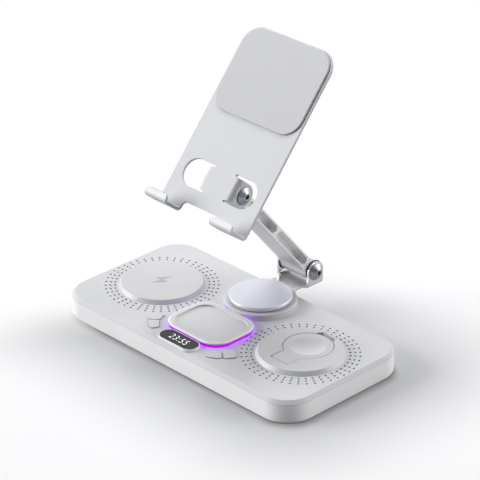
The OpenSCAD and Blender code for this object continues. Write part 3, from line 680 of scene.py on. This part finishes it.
class StationSettings(bpy.types.PropertyGroup):
    """What a user may change before the operators run."""

    sign_depth: length_setting(
        "Sign thickness", "How far the charging sign stands off the pad", 0.05 * MM
    )
    digit_width: length_setting(
        "Width of the time", "Width of all the digits on the clock", 14.4 * MM
    )
    digit_height: length_setting(
        "Height of a digit", "Height of the digits on the clock", 5.3 * MM
    )
    time_shown: bpy.props.StringProperty(
        name="Time shown", description="The time on the clock, as plain numbers", default="23:55"
    )
    smooth_angle: bpy.props.FloatProperty(
        name="Smooth up to",
        description="Faces that meet at less than this angle are shaded as one",
        default=math.radians(24),
        min=0.0,
        max=math.pi,
        subtype="ANGLE",
    )
    housing_colour: colour_setting("Housing", "Colour of the lower housing", (0.91, 0.915, 0.92))
    cover_colour: colour_setting("Cover", "Colour of the top cover", (0.615, 0.62, 0.64))
    pad_colour: colour_setting("Charging pads", "Colour of the pads and keys", (0.60, 0.605, 0.62))
    holder_colour: colour_setting("Holder", "Colour of the holder's plate", (0.52, 0.53, 0.555))
    cap_colour: colour_setting("Swivel cap", "Colour of the cap over the swivel", (0.73, 0.74, 0.82))
    light_colour: colour_setting("Light ring", "Colour that the ring lights in", (0.50, 0.0, 0.77))
    world_level: level_setting("World light", "Strength of the light from all round", 0.49)
    left_level: level_setting("Light from the left", "Strength of the left lamp", 0.93)
    right_level: level_setting("Light from the right", "Strength of the right lamp", 0.56)
    top_level: level_setting("Light from above", "Strength of the lamp overhead", 0.43)
    glow_level: level_setting("Light on the cover", "Strength of the ring's light on the cover", 8.0)


def settings():
    return bpy.context.scene.station


# Operators


class STATION_OT_dress_nodes(bpy.types.Operator):
    """Give every CAD node its finish, rounded edges and smooth shading"""

    bl_idname = "station.dress_nodes"
    bl_label = "Dress the CAD nodes"

    def execute(self, context):
        for name, node in frame["nodes"].items():
            dress(node, material_for(name))
            round_edges(node, EDGES.get(name, 0), settings().smooth_angle)
        return {"FINISHED"}


class STATION_OT_clock_digits(bpy.types.Operator):
    """Put the lit time on the clock's glass"""

    bl_idname = "station.clock_digits"
    bl_label = "Clock digits"

    def execute(self, context):
        low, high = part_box("display_glass")
        clear_selection()
        bpy.ops.object.text_add(location=(0, 0, 0))
        digits = context.object
        digits.name = "clock_digits"
        digits.data.body = settings().time_shown
        digits.data.align_x = "CENTER"
        digits.data.align_y = "CENTER"
        # Thin strokes set a little apart
        digits.data.size = 0.01
        digits.data.offset = -0.0002
        digits.data.space_character = 1.12
        digits.data.extrude = 0.00002
        bpy.ops.object.convert(target="MESH")
        context.view_layer.update()
        width = settings().digit_width / digits.dimensions.x
        height = settings().digit_height / digits.dimensions.y
        middle = sum((Vector(c) for c in digits.bound_box), Vector()) / 8
        digits.data.transform(Matrix.Translation(-middle))
        digits.data.transform(Matrix.Diagonal((width, height, 1, 1)))
        centre = (low + high) / 2
        digits.data.transform(Matrix.Translation((centre.x, centre.y, high.z + SEAT)))
        lit = moulded("Lit clock digits", (0.9, 0.9, 0.9), 0.4, 0.5)
        lit.shader.inputs["Emission Color"].default_value = (1, 1, 1, 1)
        lit.set(Emission_Strength=0.75)
        dress(digits, lit.material)
        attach(digits, "base")
        return {"FINISHED"}


class STATION_OT_charge_sign(bpy.types.Operator):
    """Put the bolt sign on the phone pad"""

    bl_idname = "station.charge_sign"
    bl_label = "Charge sign"

    # Corners of the bolt in millimetres, seen from above
    OUTLINE = (
        (-60.0, 8.0),
        (-66.6, -0.6),
        (-62.3, -0.6),
        (-63.8, -7.4),
        (-57.2, 1.2),
        (-61.5, 1.2),
    )

    def execute(self, context):
        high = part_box("phone_pad")[1]
        clear_selection()
        bpy.ops.mesh.primitive_circle_add(vertices=len(self.OUTLINE), radius=0.01, fill_type="NGON")
        sign = context.object
        sign.name = "charge_sign"
        for vertex, (x, y) in zip(sign.data.vertices, self.OUTLINE):
            vertex.co = (x * MM, y * MM, high.z + SEAT)
        bpy.ops.object.mode_set(mode="EDIT")
        bpy.ops.mesh.select_all(action="SELECT")
        rise = (0, 0, settings().sign_depth)
        bpy.ops.mesh.extrude_region_move(TRANSFORM_OT_translate={"value": rise})
        bpy.ops.mesh.select_all(action="SELECT")
        bpy.ops.mesh.normals_make_consistent(inside=False)
        bpy.ops.object.mode_set(mode="OBJECT")
        mark = moulded("Sign on the phone pad", (0.42, 0.425, 0.44), 0.4, 0.5)
        dress(sign, mark.material)
        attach(sign, "base")
        return {"FINISHED"}


class STATION_OT_stage(bpy.types.Operator):
    """Camera, lamps, floor and world"""

    bl_idname = "station.stage"
    bl_label = "Studio"

    def execute(self, context):
        self.camera(context)
        self.lamps()
        self.glow()
        self.floor()
        self.world(context)
        context.scene.view_settings.view_transform = "Standard"
        return {"FINISHED"}

    def camera(self, context):
        clear_selection()
        bpy.ops.object.camera_add(location=CAMERA_PLACE)
        camera = context.object
        camera.name = "photo_camera"
        ahead = CAMERA_TARGET - CAMERA_PLACE
        camera.rotation_euler = ahead.to_track_quat("-Z", "Y").to_euler()
        camera.data.lens = CAMERA_LENS
        camera.data.sensor_width = CAMERA_SENSOR
        camera.data.clip_end = 20
        context.scene.camera = camera

    def lamps(self):
        self.sun("left_lamp", LEFT_SOURCE, settings().left_level)
        self.sun("right_lamp", RIGHT_SOURCE, settings().right_level)
        back = TOP_PLACE - TOP_AIM
        lamp = self.lamp("top_lamp", "AREA", TOP_PLACE, back)
        lamp.shape = "DISK"
        lamp.size = TOP_WIDTH
        lamp.energy = settings().top_level * math.pi**2 * back.length**2

    def lamp(self, name, kind, place, back):
        """A lamp at a place that shines away from the direction behind it."""
        clear_selection()
        bpy.ops.object.light_add(type=kind, location=place)
        made = bpy.context.object
        made.name = name
        made.rotation_euler = back.to_track_quat("Z", "Y").to_euler()
        return made.data

    def sun(self, name, source, level):
        lamp = self.lamp(name, "SUN", source * 2, source)
        lamp.energy = level * math.pi
        lamp.angle = LAMP_WIDTH

    def glow(self):
        """Violet strips round the tray that light the cover as the ring does."""
        low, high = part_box("light_ring")
        centre, half = (low + high) / 2, (high - low) / 2
        run = half - Vector((GLOW_CORNER, GLOW_CORNER, 0))
        chord = 2 * GLOW_CORNER * math.sin(STRIP_HALF_TURN)
        for side in range(4):
            angle = math.radians(90 * side)
            out = Vector((math.cos(angle), math.sin(angle), 0))
            along = Vector((abs(out.y), abs(out.x), 0))
            edge = Vector((out.x * half.x, out.y * half.y, 0))
            self.strip(centre + edge, out, 2 * along.dot(run))
            for turned in STRIP_TURNS:
                angle = math.radians(90 * side + turned)
                out = Vector((math.cos(angle), math.sin(angle), 0))
                turn = Vector((math.copysign(run.x, out.x), math.copysign(run.y, out.y), 0))
                self.strip(centre + turn + out * (GLOW_CORNER - GLOW_INSET), out, chord)

    def strip(self, place, out, length):
        """One glowing strip that faces outward and down."""
        lamp = self.lamp("glow_lamp", "AREA", place + out * STRIP_GAP, STRIP_DIP - out)
        lamp.shape = "RECTANGLE"
        lamp.size, lamp.size_y = length, STRIP_HEIGHT
        lamp.color = GLOW_COLOUR
        lamp.energy = settings().glow_level * math.pi * length * STRIP_HEIGHT
        bpy.context.object.visible_camera = False

    def floor(self):
        """A white floor that fades to the backdrop behind, with a soft painted shadow round the
        base.
        """
        clear_selection()
        bpy.ops.mesh.primitive_plane_add(size=12)
        floor = bpy.context.object
        floor.name = "studio_floor"
        finish = Finish("White studio floor")
        tree = finish.tree
        place = parts_of(tree, finish.place)
        x, y = place["X"], place["Y"]
        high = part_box("bottom_housing")[1]
        distance = distance_beyond(tree, x, y, high.x - BASE_CORNER, high.y - BASE_CORNER)
        out_of_painted_shadow = ramp(tree, distance, *FLOOR_PAINTED_SHADOW)
        # Painted shadow: darker near the base, lighter away from it
        finish.colour(out_of_painted_shadow, (0.42, 0.425, 0.44), (0.90, 0.905, 0.915))
        finish.set(Roughness=0.6, Specular_IOR_Level=0.1)
        behind = math_node(tree, "SUBTRACT", math_node(tree, "MULTIPLY", y, 0.5), x)
        fade = ramp(tree, behind, *FLOOR_FADE)
        white = finish.new("ShaderNodeEmission").outputs["Emission"]
        seen = shader_mix(tree, fade, finish.shader.outputs["BSDF"], white)
        bounce = finish.new("ShaderNodeBsdfDiffuse")
        bounce.inputs["Color"].default_value = (0.38, 0.38, 0.39, 1)
        surface = shader_mix(tree, seen_rays(tree), bounce.outputs["BSDF"], seen)
        finish.link(surface, tree.nodes["Material Output"].inputs["Surface"])
        dress(floor, finish.material)

    def world(self, context):
        """White behind the station and darker on the camera's side."""
        world = bpy.data.worlds.new("White studio")
        context.scene.world = world
        world.use_nodes = True
        tree = world.node_tree
        new, link = tree.nodes.new, tree.links.new
        toward = new("ShaderNodeVectorMath")
        toward.operation = "DOT_PRODUCT"
        toward.inputs[1].default_value = DARK_SIDE
        link(new("ShaderNodeTexCoord").outputs["Generated"], toward.inputs[0])
        dark = ramp(tree, toward.outputs["Value"], *DARK_RANGE)
        tone = colour_mix(tree, dark, (1, 1, 1), (0.05, 0.05, 0.055))
        light, seen = tree.nodes["Background"], new("ShaderNodeBackground")
        light.inputs["Strength"].default_value = settings().world_level
        for background in (light, seen):
            link(tone.outputs["Result"], background.inputs["Color"])
        glow, shown = light.outputs["Background"], seen.outputs["Background"]
        sky = shader_mix(tree, seen_rays(tree), glow, shown)
        link(sky, tree.nodes["World Output"].inputs["Surface"])


class STATION_PT_panel(bpy.types.Panel):
    """Buttons that build the station's dressing"""

    bl_label = "Charging station"
    bl_idname = "STATION_PT_panel"
    bl_space_type = "VIEW_3D"
    bl_region_type = "UI"
    bl_category = "Station"

    def draw(self, context):
        for name in StationSettings.__annotations__:
            self.layout.prop(context.scene.station, name)
        for operator in OPERATORS:
            self.layout.operator(operator.bl_idname)


OPERATORS = (
    STATION_OT_dress_nodes,
    STATION_OT_clock_digits,
    STATION_OT_charge_sign,
    STATION_OT_stage,
)
CLASSES = (StationSettings, *OPERATORS, STATION_PT_panel)


def register():
    for cls in CLASSES:
        bpy.utils.register_class(cls)
    bpy.types.Scene.station = bpy.props.PointerProperty(type=StationSettings)


def unregister():
    del bpy.types.Scene.station
    for cls in reversed(CLASSES):
        bpy.utils.unregister_class(cls)


def main():
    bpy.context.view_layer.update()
    register()
    bpy.ops.station.dress_nodes()
    bpy.ops.station.clock_digits()
    bpy.ops.station.charge_sign()
    bpy.ops.station.stage()


if __name__ == "__main__":
    main()
